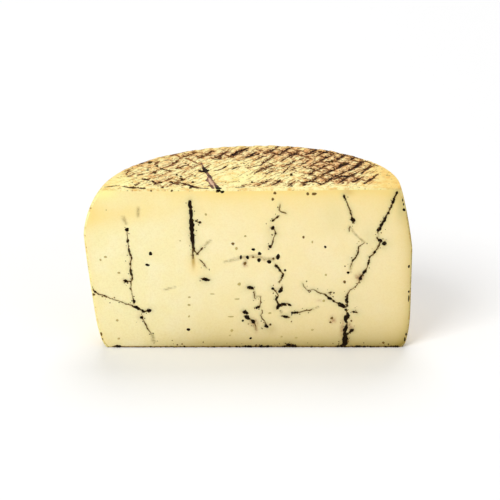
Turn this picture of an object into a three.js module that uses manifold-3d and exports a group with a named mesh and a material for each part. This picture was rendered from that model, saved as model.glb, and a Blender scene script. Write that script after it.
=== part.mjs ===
// Half wheel of truffle pecorino, cut straight down through the wheel's axis.
// Millimetres, +Z up. The cut face looks along -Y and the wheel stands on its flat base.
// The origin is at the bottom centre of the half wheel's box.
import * as THREE from 'three';
import { mergeVertices } from 'three/addons/utils/BufferGeometryUtils.js';
import Module from 'manifold-3d';

// Driving dimensions of the wheel
const WHEEL_RADIUS = 115.6;
const WHEEL_HEIGHT = 119.6;
const RIGHT_RISE = 1.5;

// How far the wheel is out of round: longer towards the rear right, shorter towards the rear left
const PLAN_SKEW = 2.5;

// The side's profile where the cut meets it: heights are shares of the wheel's height
const LEFT_SIDE = {
  bulge: 0.72, topInset: 14.4, roundness: 1.53, taper: 9.7, footInset: 4.8, footHeight: 0.2,
};
const RIGHT_SIDE = {
  bulge: 0.62, topInset: 9.5, roundness: 1.18, taper: 0, footInset: 5.6, footHeight: 0.24,
};
const TAPER_POWER = 1.2;

// The basket's imprint: lattices of shallow grooves on the top and round the side
const TOP_PITCH = 8;
const TOP_GROOVE_DEPTH = 0.9;
const TOP_STRAND_ANGLES = [THREE.MathUtils.degToRad(57), THREE.MathUtils.degToRad(-45)];
const SIDE_COLUMNS = 120;
const SIDE_ROWS = 20;
const SIDE_GROOVE_DEPTH = 0.8;
const PLAIN_EDGE_ROWS = 2;
const PLAIN_BEHIND_CUT = 12;
const END_CROWDING = 0.5;

// Truffle seams that stand open on the cut face, as x from the axis and height, from the top down
const SEAM_DEPTH = 1.6;
const SEAM_END_SHARE = 0.35;
const LEFT_SEAM = [[-84, 83], [-83, 72], [-82.5, 58], [-82, 45], [-80.5, 32], [-75, 28], [-69, 28.5]];
const LEFT_BRANCH = [[-109, 44.5], [-102, 40.5], [-87, 34], [-82, 31.5]];
const BLACK_SEAM = [[-40.3, 111], [-39, 92], [-38, 78], [-35.5, 71.5]];
const CENTRE_SEAM = [[20, 64], [26, 57.5], [23, 50], [21.5, 41.5], [20.5, 37], [23, 33], [29, 34]];
const RIGHT_SEAM = [[104, 117], [100, 107], [91.5, 88], [93, 80], [85.5, 67], [80, 53], [72, 41], [70.5, 27]];
const RIGHT_FOOT = [[71, 29], [70.3, 20], [69.8, 8], [68, 1.5]];
const RIGHT_BRANCH = [[48, 44.5], [57, 39.5], [65, 34], [70, 31]];
const SEAMS = [
  { route: LEFT_SEAM, width: 1.8 },
  { route: LEFT_BRANCH, width: 1.4 },
  { route: BLACK_SEAM, width: 3 },
  { route: CENTRE_SEAM, width: 2 },
  { route: RIGHT_SEAM, width: 1.9 },
  { route: RIGHT_FOOT, width: 3.6 },
  { route: RIGHT_BRANCH, width: 1.7 },
];

// How far cutting blocks run past what they cut
const CUT_MARGIN = 10;
const BLOCK_SPAN = 2 * (WHEEL_RADIUS + CUT_MARGIN);

const CHEESE_COLOUR = 0xf3dd9c;
const CHEESE_ROUGHNESS = 0.6;

const wasm = await Module();
wasm.setup();

// A closed geometry as a solid that can be joined and cut
function toSolid(geometry) {
  geometry.deleteAttribute('normal');
  geometry.deleteAttribute('uv');
  const merged = mergeVertices(geometry);
  const mesh = new wasm.Mesh({
    numProp: 3,
    vertProperties: new Float32Array(merged.attributes.position.array),
    triVerts: new Uint32Array(merged.index.array),
  });
  mesh.merge();
  return new wasm.Manifold(mesh);
}

// A solid as a geometry, stood on the origin at its bottom centre
function toStandingGeometry(solid) {
  const mesh = solid.getMesh();
  const geometry = new THREE.BufferGeometry();
  geometry.setAttribute('position', new THREE.BufferAttribute(new Float32Array(mesh.vertProperties), 3));
  geometry.setIndex(new THREE.BufferAttribute(new Uint32Array(mesh.triVerts), 1));
  geometry.computeBoundingBox();
  const centre = geometry.boundingBox.getCenter(new THREE.Vector3());
  geometry.translate(-centre.x, -centre.y, -geometry.boundingBox.min.z);
  geometry.computeVertexNormals();
  return geometry;
}

// Folds each quad along the diagonal that lies deeper, so that creases follow the grooves
function foldAlongGrooves(geometry, depths) {
  const index = geometry.index.array;
  for (let start = 0; start < index.length; start += 6) {
    const [a, b, d] = index.slice(start, start + 3);
    const c = index.slice(start + 3, start + 6).find((corner) => corner !== b && corner !== d);
    if (depths[a] + depths[c] > depths[b] + depths[d]) {
      index.set([a, b, c, a, c, d], start);
    }
  }
}

// How far one side's profile lies inside the bulge, at a height given as a share of the whole
function profileInset(side, level) {
  const rise = Math.max(0, (level - side.bulge) / (1 - side.bulge));
  const fall = Math.max(0, (side.bulge - level) / side.bulge);
  const foot = Math.max(0, 1 - level / side.footHeight);
  const shoulder = side.topInset * (1 - (1 - rise ** side.roundness) ** (1 / side.roundness));
  return shoulder + side.taper * fall ** TAPER_POWER + side.footInset * (1 - Math.sqrt(1 - foot ** 2));
}

// The wheel's radius at an azimuth from +X, blended from the right side's profile to the left side's
function radiusAt(azimuth, level) {
  const leftShare = (1 - Math.cos(azimuth)) / 2;
  const rightInset = profileInset(RIGHT_SIDE, level);
  const leftInset = profileInset(LEFT_SIDE, level);
  const roundRadius = WHEEL_RADIUS - THREE.MathUtils.lerp(rightInset, leftInset, leftShare);
  return roundRadius + PLAN_SKEW * Math.sin(2 * azimuth);
}

// The height of a side row as a share of the whole, with rows closer together at both edges
function rowLevel(row) {
  const share = row / SIDE_ROWS;
  return THREE.MathUtils.lerp(share, (1 - Math.cos(Math.PI * share)) / 2, END_CROWDING);
}

// The share of a groove's full depth, which fades out towards the cut
function grooveShare(behindCut) {
  return THREE.MathUtils.clamp(behindCut / PLAIN_BEHIND_CUT, 0, 1);
}

// The groove at a corner of the side's grid: every second corner is a crossing of two grooves
function sideGroove(column, row, azimuth) {
  const isCrossing = (column + row) % 2 === 0;
  const isPlain = row < PLAIN_EDGE_ROWS || row > SIDE_ROWS - PLAIN_EDGE_ROWS;
  const share = grooveShare(WHEEL_RADIUS * Math.sin(azimuth));
  return isCrossing && !isPlain ? SIDE_GROOVE_DEPTH * share : 0;
}

// The whole wheel's side and base, running a little past the top so that the top can be cut to shape
function wheelSides() {
  const rowCount = SIDE_ROWS + 1;
  const profile = [new THREE.Vector2(0, 0)];
  for (let row = 0; row < rowCount; row += 1) {
    profile.push(new THREE.Vector2(1, rowLevel(row) * WHEEL_HEIGHT));
  }
  const pastTop = WHEEL_HEIGHT + CUT_MARGIN;
  profile.push(new THREE.Vector2(1, pastTop), new THREE.Vector2(0, pastTop));
  const geometry = new THREE.LatheGeometry(profile, SIDE_COLUMNS);
  geometry.rotateX(Math.PI / 2);

  const position = geometry.attributes.position;
  const depths = new Float32Array(position.count);
  for (let vertex = 0; vertex < position.count; vertex += 1) {
    const column = Math.floor(vertex / profile.length) % SIDE_COLUMNS;
    const row = Math.min((vertex % profile.length) - 1, SIDE_ROWS);
    const isOnAxis = profile[vertex % profile.length].x === 0;
    const azimuth = (column / SIDE_COLUMNS) * 2 * Math.PI - Math.PI / 2;
    depths[vertex] = isOnAxis ? 0 : sideGroove(column, row, azimuth);
    const radius = isOnAxis ? 0 : radiusAt(azimuth, rowLevel(row)) - depths[vertex];
    position.setXY(vertex, radius * Math.cos(azimuth), radius * Math.sin(azimuth));
  }
  foldAlongGrooves(geometry, depths);
  return toSolid(geometry);
}

// A slab below the wheel's top face, with the basket's lattice of grooves in it
function topSlab() {
  const [strandA, strandB] = TOP_STRAND_ANGLES;
  const halfAngle = (strandA - strandB) / 2;
  const stepX = TOP_PITCH / (2 * Math.sin(halfAngle));
  const stepY = TOP_PITCH / (2 * Math.cos(halfAngle));
  const columns = Math.ceil(BLOCK_SPAN / stepX);
  const rows = Math.ceil(BLOCK_SPAN / stepY);
  const geometry = new THREE.BoxGeometry(columns * stepX, rows * stepY, WHEEL_HEIGHT, columns, rows, 1);

  const position = geometry.attributes.position;
  const depths = new Float32Array(position.count);
  for (let vertex = 0; vertex < position.count; vertex += 1) {
    const column = Math.round(position.getX(vertex) / stepX + columns / 2);
    const row = Math.round(position.getY(vertex) / stepY + rows / 2);
    depths[vertex] = (column + row) % 2 === 0 ? TOP_GROOVE_DEPTH : 0;
  }
  geometry.rotateZ((strandA + strandB) / 2);
  for (let vertex = 0; vertex < position.count; vertex += 1) {
    const isTop = position.getZ(vertex) > 0;
    const toTheRight = Math.max(0, position.getX(vertex) / WHEEL_RADIUS);
    depths[vertex] *= grooveShare(position.getY(vertex));
    const topHeight = WHEEL_HEIGHT + RIGHT_RISE * toTheRight - depths[vertex];
    position.setZ(vertex, isTop ? topHeight : -CUT_MARGIN);
  }
  foldAlongGrooves(geometry, depths);
  return toSolid(geometry);
}

// The block that keeps the rear half of the wheel
function keptHalf() {
  const block = new THREE.BoxGeometry(BLOCK_SPAN, BLOCK_SPAN, BLOCK_SPAN);
  block.translate(0, BLOCK_SPAN / 2, WHEEL_HEIGHT / 2);
  return toSolid(block);
}

// One edge of a seam: its route moved sideways, closer in at both ends
function seamEdge(route, offset) {
  return route.map((point, number) => {
    const before = new THREE.Vector2(...route[Math.max(number - 1, 0)]);
    const after = new THREE.Vector2(...route[Math.min(number + 1, route.length - 1)]);
    const along = after.sub(before).normalize();
    const isEnd = number === 0 || number === route.length - 1;
    const reach = isEnd ? offset * SEAM_END_SHARE : offset;
    return new THREE.Vector2(point[0] - along.y * reach, point[1] + along.x * reach);
  });
}

// The groove that an open seam leaves in the cut face
function seamGroove({ route, width }) {
  const outline = [...seamEdge(route, -width / 2), ...seamEdge(route, width / 2).reverse()];
  const geometry = new THREE.ExtrudeGeometry(new THREE.Shape(outline), {
    depth: SEAM_DEPTH + CUT_MARGIN,
    bevelEnabled: false,
  });
  geometry.rotateX(Math.PI / 2);
  geometry.translate(0, SEAM_DEPTH, 0);
  return toSolid(geometry);
}

function halfWheel() {
  let solid = wheelSides().intersect(topSlab()).intersect(keptHalf());
  for (const seam of SEAMS) {
    solid = solid.subtract(seamGroove(seam));
  }
  const material = new THREE.MeshStandardMaterial({
    color: CHEESE_COLOUR,
    roughness: CHEESE_ROUGHNESS,
    metalness: 0,
  });
  const mesh = new THREE.Mesh(toStandingGeometry(solid), material);
  mesh.name = 'half_wheel';
  return mesh;
}

const cheese = new THREE.Group();
cheese.add(halfWheel());

export default cheese;
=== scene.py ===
# Half wheel of truffle pecorino: its looks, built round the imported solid.
# The script's sizes are millimetres and become metres where a mesh, a light or the camera is made.
import itertools
import math
from functools import partial
from typing import NamedTuple

import bmesh
import bpy
import numpy as np
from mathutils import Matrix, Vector


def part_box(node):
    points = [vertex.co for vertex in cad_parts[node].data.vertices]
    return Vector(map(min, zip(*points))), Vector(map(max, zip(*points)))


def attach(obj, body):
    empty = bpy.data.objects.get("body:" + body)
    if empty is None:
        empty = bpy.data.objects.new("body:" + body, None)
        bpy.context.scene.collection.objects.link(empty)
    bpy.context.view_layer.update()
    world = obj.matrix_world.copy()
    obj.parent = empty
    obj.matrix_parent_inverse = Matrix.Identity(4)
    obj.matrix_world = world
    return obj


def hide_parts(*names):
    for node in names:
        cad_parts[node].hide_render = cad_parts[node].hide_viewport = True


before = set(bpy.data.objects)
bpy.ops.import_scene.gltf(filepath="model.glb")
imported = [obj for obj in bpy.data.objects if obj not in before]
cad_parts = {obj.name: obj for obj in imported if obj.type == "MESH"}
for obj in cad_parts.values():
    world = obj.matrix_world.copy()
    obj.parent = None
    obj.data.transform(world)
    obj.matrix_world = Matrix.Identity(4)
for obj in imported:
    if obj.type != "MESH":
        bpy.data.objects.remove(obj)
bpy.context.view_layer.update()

MM = 0.001
NODE = "half_wheel"
BODY = "root"

# The wheel's form, from the frame and from the profile that the solid has
node_low, node_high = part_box(NODE)
WHEEL_RADIUS = (node_high.x - node_low.x) / 2 / MM
CUT_Y = node_low.y / MM
WHEEL_HEIGHT = 119.6
RIGHT_RISE = 1.5
PLAN_SKEW = 2.5
TAPER_POWER = 1.2


class Side(NamedTuple):
    """A side's profile: heights are shares of the wheel's height, insets are millimetres."""
    bulge: float
    top_inset: float
    roundness: float
    taper: float
    foot_inset: float
    foot_height: float


LEFT_SIDE = Side(0.72, 14.4, 1.53, 9.7, 4.8, 0.2)
RIGHT_SIDE = Side(0.62, 9.5, 1.18, 0.0, 5.6, 0.24)

# Grid counts of the one closed surface
CUT_COLUMNS, CUT_ROWS = 232, 122
TOP_COLUMNS, TOP_ROWS = 296, 138
SIDE_COLUMNS, SIDE_ROWS = 272, 88
BASE_COLUMNS, BASE_ROWS = 64, 32
SIDE_CROWDING = 0.6
CUT_CROWDING = 0.2
RIM_WIDTH = 1.2
RIM_SETBACK = 0.7

# The basket's imprint
STRAND_ANGLES = (math.radians(57), math.radians(-45))
STRAND_PITCH = 9.0
SIDE_PITCH = 8.5
GROOVE_DEPTH = 1.0
GROOVE_FLOOR, GROOVE_EDGE = 0.05, 0.34
CROSS_GROOVE_SHARE = 0.8
MARK_DEPTH = 0.5
MARK_REACH = 3.0
BASE_GROOVE_DEPTH = 0.35
SHOULDER_LEVEL = 110
FRONT_FADE = 4

# How the strands drift: strength in strands, size of the bends, seeds
FLAT_DRIFT, SIDE_DRIFT, FINE_DRIFT = 0.3, 0.24, 0.1
DRIFT_SIZE, FINE_DRIFT_SIZE = 26, 8
FLAT_SEED, SIDE_SEED, FINE_SEED_STEP = 1, 3, 9

# Layers of noise that make the surface uneven: strength, size, seed
RIND_LUMPS = ((0.2, 5, 11), (0.1, 2.2, 12))
CUT_DIPS = ((0.12, 14, 31), (0.05, 3, 32))
SEAM_DIP = 0.45
HIGHEST_BUMP = 0.15

# Where the looks of a face change, from one place to another
TOP_FRONT_FADE = (3, 10)
TOP_LEFT_FADE, TOP_RIGHT_FADE = (-100, -84), (84, 96)
TOP_GOLD_END = (70, 104)
SIDE_CUT_FADE, SIDE_FOOT_FADE, SHOULDER_FADE = (3, 14), (3, 12), (0.4, 2.4)
# The cut's left end is painted paler as painted light, fading out over the first span below.
PAINTED_LIGHT_LEFT, PEACH_BLUSH = (-105, -10), (-110, 40)

# How fast a path's strength falls beside it: over a share of its width or a least distance,
# and to nothing after that many times as far
FALL_SHARE, LEAST_FALL, FALLS_TO_NOTHING = 0.6, 0.6, 3
ROUTE_STEP = 0.5

# Truffle seams on the cut face: x from the wheel's axis, height, and width at that place
SEAMS = {
    "left": [
        (-84.4, 77.8, 0.6), (-84.3, 75.5, 1.4), (-83.3, 72.4, 2.2), (-82.4, 67.7, 1.3), (-83.2, 64.4, 1.3),
        (-83.2, 60.8, 1.3), (-83, 57.3, 1.6), (-82, 54, 1.4), (-83.1, 50.8, 1.4), (-83.4, 46.5, 0.8),
        (-82.7, 42.6, 0.7), (-82.1, 39, 0.5), (-81.2, 35.4, 1.9), (-81.4, 33.8, 1.2)],
    "left stub": [(-88.7, 51.6, 1), (-87.2, 51.4, 2.7), (-85, 51.2, 1.6), (-83.1, 51.2, 1.4)],
    "left branch": [
        (-110.5, 47.2, 1.2), (-110, 44.4, 1.3), (-106.5, 41.4, 1.5), (-105, 40.8, 0.7),
        (-102.8, 40.3, 1.6), (-100.8, 39.6, 0.9), (-98.3, 37.8, 0.6), (-92.7, 36.4, 0.5),
        (-89.4, 34.8, 0.9), (-87.2, 33.8, 1.5), (-85.3, 33.4, 0.6), (-81.6, 31.9, 1.9), (-79.7, 31.3, 2),
        (-76.6, 29.4, 1.5), (-74.4, 28.1, 2.4), (-72.2, 28.3, 2), (-70.1, 28.8, 2.9), (-69.1, 28.8, 2)],
    "left tail": [
        (-75.4, 24.8, 0.8), (-76.1, 23.1, 2.4), (-74.8, 21, 0.5), (-73, 16.7, 1.6), (-71.3, 13.7, 1),
        (-69.4, 10.4, 0.5)],
    "black": [
        (-40.4, 111.6, 2.2), (-40.7, 108.6, 2.1), (-40, 103, 2.8), (-40.4, 99.1, 2.1), (-39.7, 92.6, 2.9),
        (-39.7, 86.6, 2.7), (-38.8, 81.4, 2.9), (-38.7, 77.1, 1.9), (-37.6, 73.9, 1.3), (-35.8, 71.6, 1.4),
        (-35, 71, 0.6)],
    "black hook": [(-36.3, 71.6, 1.9), (-34.4, 73.9, 1), (-32.5, 76.2, 2), (-31.9, 76.8, 0.8)],
    "black dash": [(-37.1, 96.6, 1.6), (-35.5, 95.5, 1.6), (-33.5, 95, 1.4), (-32.7, 95, 0.6)],
    "lone chip": [
        (-33.7, 53.3, 1.1), (-32, 52.6, 2.6), (-29.7, 52.1, 3), (-27.5, 51.9, 1.3), (-26.7, 52, 0.5)],
    "centre top": [
        (22.3, 108.6, 0.5), (22.1, 106.8, 0.9), (21.2, 104.4, 0.7), (23.5, 103, 0.8), (25.9, 102.2, 1.3),
        (26.5, 102, 0.6)],
    "centre dash": [(21.8, 100.4, 0.7), (21.2, 99.7, 1.3), (19, 97.9, 1.2), (16.7, 95.9, 1.4)],
    "centre": [
        (15.5, 91.4, 1.2), (16.9, 91, 3.2), (18.2, 90, 0.8), (19.3, 86.9, 2.5), (18.5, 85.2, 0.9),
        (17.8, 83.8, 1), (17.4, 81, 1.6), (16.5, 78.2, 1.4), (15.1, 76.9, 2.4), (14.5, 76.6, 1)],
    "centre low": [
        (18.9, 64.4, 0.9), (19.4, 63, 1.7), (21.3, 60.8, 1.5), (23.3, 58.4, 1.4), (24.7, 56.6, 1.4),
        (23.1, 52.9, 1.2), (21.9, 49.6, 0.9)],
    "fork": [
        (16.9, 46.2, 1.5), (17.7, 45.2, 2.2), (19.7, 43.2, 1.1), (21.2, 40.4, 1.3), (19.4, 37.4, 1.4),
        (21, 34.6, 1.6), (21.9, 32.4, 2.4), (20.6, 30.7, 2.6), (19.7, 30.6, 1.5)],
    "fork right": [(24.1, 47.4, 0.9), (23.5, 45.7, 1.6), (22.8, 44.6, 2.8), (21.9, 42.2, 1.4)],
    "fork bar": [
        (21.7, 32.8, 2.2), (23.9, 33.1, 2.5), (25.9, 33.6, 2.6), (27.7, 34.1, 1.5), (30.6, 32.2, 1.2)],
    "middle tail": [
        (30.5, 26.8, 1.6), (32.5, 27, 2.3), (34.3, 27.1, 2.3), (36.5, 27.3, 1.1), (38.7, 28.1, 0.9),
        (41, 28.5, 1), (43.7, 28.7, 1.1), (45.5, 29.6, 0.6)],
    "middle chip": [(23.3, 24.4, 1), (25.1, 24.2, 1.5), (27, 23.9, 2.3), (29.7, 23.5, 1.3)],
    "arch": [(-0.7, 45.4, 1.4), (-0.2, 46.2, 2.5), (1.2, 46.4, 2.4), (3, 45.6, 1.7), (4, 44.8, 0.9)],
    "low wing": [
        (8.6, 39.5, 0.6), (8.8, 35.6, 1.1), (8.2, 32.6, 1), (7.7, 31.6, 2.1), (6, 30.8, 2),
        (5.2, 30.7, 1.5)],
    "low dash": [(-3.8, 27.8, 1.9), (-2.1, 27.4, 2.8), (-0.4, 26.8, 2), (0.4, 26.6, 0.7)],
    "low blob": [
        (-2.1, 25, 1.9), (-1, 23.8, 3.6), (0.4, 22.6, 3), (1.5, 21.6, 1.5), (3.6, 20.4, 2.8),
        (4.5, 18.6, 1.3), (5.3, 16.6, 1), (5.1, 13.5, 0.4)],
    "low right": [
        (9.4, 29.2, 0.7), (10, 28, 1), (8.9, 25.2, 0.7), (10, 22.5, 1), (11.4, 20.6, 1), (12.2, 18.8, 0.6),
        (13.1, 16.4, 3.4), (12.9, 15.4, 2.6)],
    "thin": [
        (66.7, 115.8, 1.5), (66.9, 114, 1.7), (68.6, 110.2, 0.7), (70.2, 106.6, 1.4), (71.5, 102.4, 1.7),
        (72.3, 99.8, 1), (72.9, 97.7, 2), (74.4, 96.5, 1.6), (73, 94.5, 1)],
    "thin dash": [(71.2, 92.6, 0.6), (70.8, 90.3, 1.2), (70.7, 88.4, 0.7)],
    "thin low": [
        (81.8, 80.3, 0.6), (79.7, 78.8, 0.8), (77.7, 77.2, 1), (77.5, 74.6, 1.1), (77, 72, 2),
        (75.8, 69.6, 1.1), (74.1, 67.4, 2), (73.2, 65, 0.6), (71.9, 61.4, 0.4)],
    "right top": [
        (103.8, 118.4, 1), (103.4, 117.2, 1.7), (101.9, 113.2, 1.9), (100.6, 110.6, 2), (99.7, 107.2, 1.4),
        (98.3, 103.4, 1.4), (96.7, 100, 1.6), (93.9, 94.5, 2), (91.2, 88.9, 1.6), (90.7, 87.4, 0.8)],
    "right": [
        (90.2, 84.2, 1.2), (91.9, 82.2, 2.6), (93.3, 81.1, 2.3), (91.8, 78.2, 1.3), (90, 74.4, 1.6),
        (87.5, 70.9, 1.4), (85.3, 69.2, 1.6), (85.2, 65.9, 1.4), (83.8, 61.4, 1), (82.2, 58.2, 2.2),
        (80.9, 56, 2.3), (79.5, 53.9, 2.4), (78.8, 51.2, 1.1), (77, 48, 0.6), (74.6, 45.8, 0.5),
        (72, 44.2, 0.8), (70.5, 40.8, 1.4), (69.9, 37.2, 2.1), (70.2, 33.8, 1.6), (70.4, 31.6, 1.7)],
    "right knot": [(96.2, 81.3, 1.6), (95.9, 79.6, 3.1), (95.2, 78.2, 2.7)],
    "right foot": [
        (69.1, 29.8, 1.9), (70.6, 27, 1.5), (71.4, 25.2, 2.4), (70.3, 23.7, 3.6), (69.6, 21.4, 2.1),
        (70.4, 18.2, 1.5), (69.8, 15.9, 2.2), (69, 13, 2), (69.2, 9.8, 2.7), (69.1, 7.4, 3.4),
        (69.5, 5, 4.6), (69, 3.5, 4.2), (67.4, 2, 2.4), (66.4, 0.6, 2.4)],
    "foot stub": [(69.9, 10, 2.2), (72.4, 11.8, 1.6), (74.4, 13.5, 2.2), (75.4, 14.3, 1.6)],
    "foot dash": [(73.8, 27.9, 0.8), (75.6, 27.6, 1.5), (77.2, 27, 2.1), (78, 26.8, 1)],
    "right branch": [
        (42, 43.9, 0.7), (46.3, 44.9, 0.5), (48.3, 43.8, 0.9), (50.1, 42.3, 1.7), (51.9, 41.4, 1),
        (54.5, 41.1, 1.3), (56.1, 39.6, 1.7), (57.3, 38.4, 2.5), (59.8, 36.6, 1.6), (62.3, 34.8, 1),
        (64.7, 33.8, 2.2), (66.9, 32.3, 2.6), (68.4, 31.6, 2.4), (69.9, 31.4, 1.2)],
    "branch dash": [(56.8, 41.9, 1.1), (58.4, 42.3, 1.3), (59.7, 42.7, 0.6)],
    # A dark line along the base: partly dark rind and truffle, partly a painted contact shadow.
    "base line and painted contact shadow": [
        (-98, 0.8, 0.8), (-94, 0.9, 2.4), (-91, 0.8, 0.9), (-80, 0.7, 0.8), (-70, 0.7, 1.3),
        (-58, 0.7, 1.1), (-46, 0.7, 1.3), (-36, 0.7, 0.9), (-20, 0.7, 1.3), (-12, 0.7, 1.2), (-4, 0.8, 2),
        (4, 0.7, 1.6), (13, 0.9, 2.1), (18, 0.8, 1.2), (27, 0.8, 2), (40, 0.8, 0.9), (52, 0.7, 1.2),
        (60, 0.8, 1), (64, 0.9, 1.6), (72, 0.8, 1.6), (80, 0.9, 1.5), (90, 0.8, 1.4), (104, 0.8, 1.6),
        (109, 0.8, 1.4)],
    "base chip": [(26.2, 3.4, 1.4), (28, 2.2, 2.4), (31.5, 1.7, 2.5), (34, 1.4, 1.3), (36.5, 1, 0.7)],
    "black tail": [(-38.7, 76.9, 1.5), (-39.1, 73.9, 1.4), (-39.1, 70.9, 1.7), (-38.9, 68.5, 1.1)],
    "left link": [(-85.1, 88.8, 0.7), (-84.8, 85.2, 0.6), (-84.7, 82.2, 0.7), (-84.5, 78.6, 0.8)],
    "black wisp": [(-34.8, 67.6, 0.5), (-33.2, 66.2, 0.9), (-31, 64.2, 1), (-29.6, 61, 0.6)],
    "arch link": [(4.1, 43.6, 0.5), (4.3, 40.8, 1.2), (4.3, 38.4, 1.2), (5.4, 37.6, 0.5)],
    "branch head": [(38.6, 49.6, 0.4), (39.1, 47.8, 0.7), (41.5, 44.4, 0.4), (42.8, 44.3, 0.5)],
}

# Black crumbs of truffle on the cut face: x, height, width, height of the crumb
BLACK_CRUMBS = [
    (-85, 90, 2.8, 2.8), (-84.6, 81.4, 2.2, 2.8), (-68.8, 72.1, 3, 2.9), (-71.3, 63.5, 2.9, 2.2),
    (-42.9, 13.9, 2.6, 2.5), (7.9, 72, 2.4, 2.6), (3.6, 75, 2.9, 1.7), (1.6, 7.2, 2, 2),
    (7.6, 67.1, 2.7, 3), (14.6, 66, 3.2, 2.8), (21, 69.7, 2.4, 3.9), (-5.1, 69.4, 1.6, 3.3),
    (-0.5, 69.1, 2.5, 2.5), (26.1, 59.3, 1.8, 2), (54.1, 77.1, 2, 2.1), (70.6, 57.6, 2.2, 2.1),
    (15.8, 17.8, 1.7, 1.6), (5.6, 1.8, 1.6, 1.5), (45.3, 0.7, 1.9, 1.6), (77.6, 0.8, 1.8, 2),
    (71.4, 4.7, 1.3, 1.5), (73.5, 20.8, 1.4, 1.6), (-4, 20.8, 2, 1.9), (107.7, 112, 1.3, 2.8),
    (108.4, 108.7, 1.1, 2), (108.9, 104.6, 2.3, 2.4), (113.4, 62.3, 1.3, 2.3), (113.9, 43.2, 1.1, 2),
    (114, 38, 0.9, 5.3), (113, 10.3, 1.1, 2.3), (112.2, 6.3, 1.4, 3.4), (-20.6, 118.8, 3.6, 2.2),
    (-18, 117.7, 2.8, 2), (-21.9, 118.1, 1.6, 1.4),
]

# Brown crumbs of truffle on the cut face, in the same way
BROWN_CRUMBS = [
    (41.3, 116.4, 2.5, 2.3), (46, 116.4, 4, 1.9), (17, 112.5, 1.9, 2.1), (18.5, 117, 2.1, 2),
    (38.7, 84.4, 1.9, 2.1), (68.2, 50.6, 2.1, 2.1), (59.6, 22.9, 2.2, 2.3), (58.7, 19.6, 2, 1.7),
    (96.9, 3.8, 2, 1.8), (-2.4, 64.7, 2.2, 2.6), (-10.7, 79.5, 2.6, 2.4), (-110, 41.1, 2.3, 2.3),
    (-105.4, 10.6, 2, 3.6), (-104.7, 6.6, 1.6, 1.4), (3.5, 69.3, 1.6, 1.4), (17.6, 68.3, 1.7, 1.8),
    (-47.5, 2.8, 1.4, 1.2), (-67.6, 118.8, 1.4, 1.6), (-53.2, 118.8, 1.5, 1.8),
]

# Streaks too thin to stand out as truffle, which only tint the cut face: x, height, width
STREAKS = [
    [(-87.5, 99, 2.2), (-85.5, 94.5, 1.6)],
    [(-76.8, 106, 1.6), (-77.2, 100, 1.6)],
    [(-68.9, 10.6, 1.5), (-67.8, 5, 2.5)],
    [(-17, 65.6, 0.8), (-9, 67.8, 1.8), (-4.6, 69, 2), (0, 69.4, 2), (3.5, 70.2, 2)],
    [(3.5, 70.2, 2), (8, 69, 2.4), (12, 67.8, 2.4), (17, 67.6, 2), (21.5, 69.7, 1.8)],
    [(-1.7, 66.6, 1.6), (-3, 64.6, 1.4)],
    [(8.8, 39.5, 1), (4.4, 39.4, 1.4), (4.8, 43, 1)],
    [(91.2, 87, 1.4), (90.6, 84, 1.4)],
    [(73.4, 65.2, 1.2), (72, 58, 1.4)],
    [(72, 91.5, 1), (74, 87.6, 1.2), (78, 83.6, 1), (81.8, 80.4, 1.2)],
    [(-59.5, 44.6, 0.8), (-56, 45.8, 1.2), (-52, 46.8, 0.8)],
    [(46, 29.8, 1), (50, 31.6, 1)],
    [(-30.6, 77.6, 1.2), (-28.3, 80.6, 1.6), (-26.6, 81.8, 1.2)],
    [(23.3, 28.3, 1.6), (23.4, 27.4, 1.6)],
]

# Faint olive crumbs just under the cut face: x, height, width, height of the crumb
FAINT_CRUMBS = [
    (-99.2, 104.6, 1, 0.9), (-100.6, 69.6, 2.4, 1.6), (-104.3, 67.3, 1.4, 1.9), (-91.4, 57.5, 2.2, 1.4),
    (-93.6, 21.1, 2.1, 1.7), (-42.2, 33, 2.4, 1.7), (-42, 39, 1.9, 1.3), (-42.3, 24.2, 1.6, 1.4),
    (-29.7, 101.2, 1.6, 1.7), (-2.2, 85.1, 1.8, 1.6), (-8.5, 75.9, 1.8, 2.2), (-6.4, 48.9, 2.5, 2.2),
    (-12.5, 23.9, 4.4, 0.9), (-11.9, 13.3, 2, 2.5), (-13.2, 9.5, 1.3, 1), (15.3, 26.7, 2.5, 1.3),
    (-92.8, 7, 2.1, 1.6), (34.2, 7.6, 1.8, 1.4), (45.8, 13.8, 2, 1.5), (45, 80.6, 1.4, 2.1),
    (53.6, 36.2, 2.3, 1.6), (77.6, 81, 1, 1), (23.8, 8.4, 1.7, 1.3), (-25.6, 41.4, 3.2, 0.9),
    (-8, 37.5, 4.4, 1), (-48, 81.6, 1.1, 0.9), (55, 56, 1.5, 1.7),
]


class Tint(NamedTuple):
    """A soft patch on a face: its place, its reach each way and its strength."""
    x: float
    z: float
    reach_x: float
    reach_z: float
    strength: float


# Golden oil and rusty stains that have crept out of the truffle, and grey-green veils round it
OIL_TINTS = [
    Tint(-38.8, 66.5, 1.1, 5, 0.95), Tint(-77, 25, 3, 3, 0.2), Tint(17, 14, 3, 4, 0.2),
    Tint(70, 118, 4, 3, 0.3),
]
RUST_TINTS = [
    Tint(78.6, 54, 2.8, 2.6, 0.95), Tint(3.8, 19.6, 3, 2.6, 0.9), Tint(60.4, 21.6, 2.2, 2.8, 0.75),
    Tint(-2.2, 63.6, 1.8, 1.6, 0.9), Tint(67.2, 15, 1.4, 7, 0.6), Tint(5.6, 15, 1.6, 3, 0.5),
    Tint(72.6, 16.5, 1.4, 3.5, 0.6), Tint(50.6, 36.6, 2.4, 1.4, 0.3), Tint(73.6, 14, 2, 2, 0.4),
    Tint(70.6, 6, 1.4, 2.8, 0.8),
]
VEIL_TINTS = [
    Tint(16, 86, 5, 9, 0.5), Tint(27, 24.5, 4, 3, 0.9), Tint(85, 84, 6, 9, 0.5),
    Tint(106.5, 106, 3, 9, 0.9), Tint(68, 38, 10, 6, 0.5), Tint(20, 46, 8, 12, 0.3),
    Tint(4, 30, 9, 8, 0.3), Tint(60, 100, 10, 12, 0.3), Tint(70, 8, 6, 5, 0.5), Tint(96, 98, 4, 9, 0.35),
]

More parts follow.
